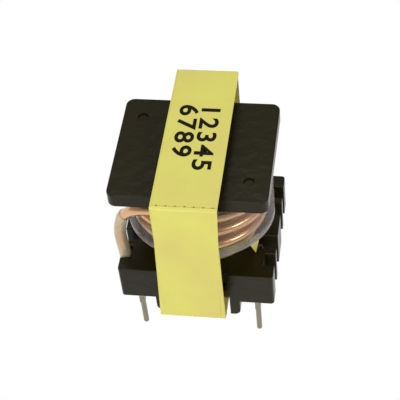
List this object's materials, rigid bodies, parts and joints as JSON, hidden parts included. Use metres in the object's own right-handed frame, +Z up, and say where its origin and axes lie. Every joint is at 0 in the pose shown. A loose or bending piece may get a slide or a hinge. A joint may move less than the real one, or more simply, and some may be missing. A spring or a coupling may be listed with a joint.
{
  "type": "switch mode transformer",
  "caption": "Small upright ferrite transformer for a switch mode power supply: E core in a pinned bobbin, taped, with a heavy copper winding under clear film.",
  "frame": {"origin": "middle of the pin pattern on the seating plane, which is the underside of the bobbin's standoff feet", "axes": "+Z up from the board along the winding's axis, +X across the two pin rows, +Y along the pin rows, towards the back"},
  "size_m": [0.0145, 0.0167, 0.0202],
  "materials": {
    "ferrite": "satin",
    "phenolic": "satin",
    "core_tape": "satin",
    "layer_tape": "satin",
    "heavy_copper": "enamelled",
    "fine_copper": "enamelled",
    "sleeve": "translucent",
    "film": "clear",
    "tinned_pin": "tinned",
    "solder": "satin"
  },
  "bodies": {
    "root": {"bobbin": "phenolic", "lower_core": "ferrite", "upper_core": "ferrite", "core_tape": "core_tape", "pin_1": "tinned_pin", "pin_2": "tinned_pin", "pin_3": "tinned_pin", "pin_4": "tinned_pin", "pin_5": "tinned_pin", "pin_6": "tinned_pin", "solder_1": "solder", "solder_3": "solder", "solder_4": "solder", "solder_5": "solder", "solder_6": "solder", "primary_winding": "fine_copper", "primary_tape": "layer_tape", "feedback_winding": "fine_copper", "insulation_tape": "layer_tape", "secondary_winding": "heavy_copper", "lead_sleeve_front": "sleeve", "lead_sleeve_back": "sleeve", "outer_film": "film", "tape_tab": "layer_tape"}
  },
  "joints": []
}
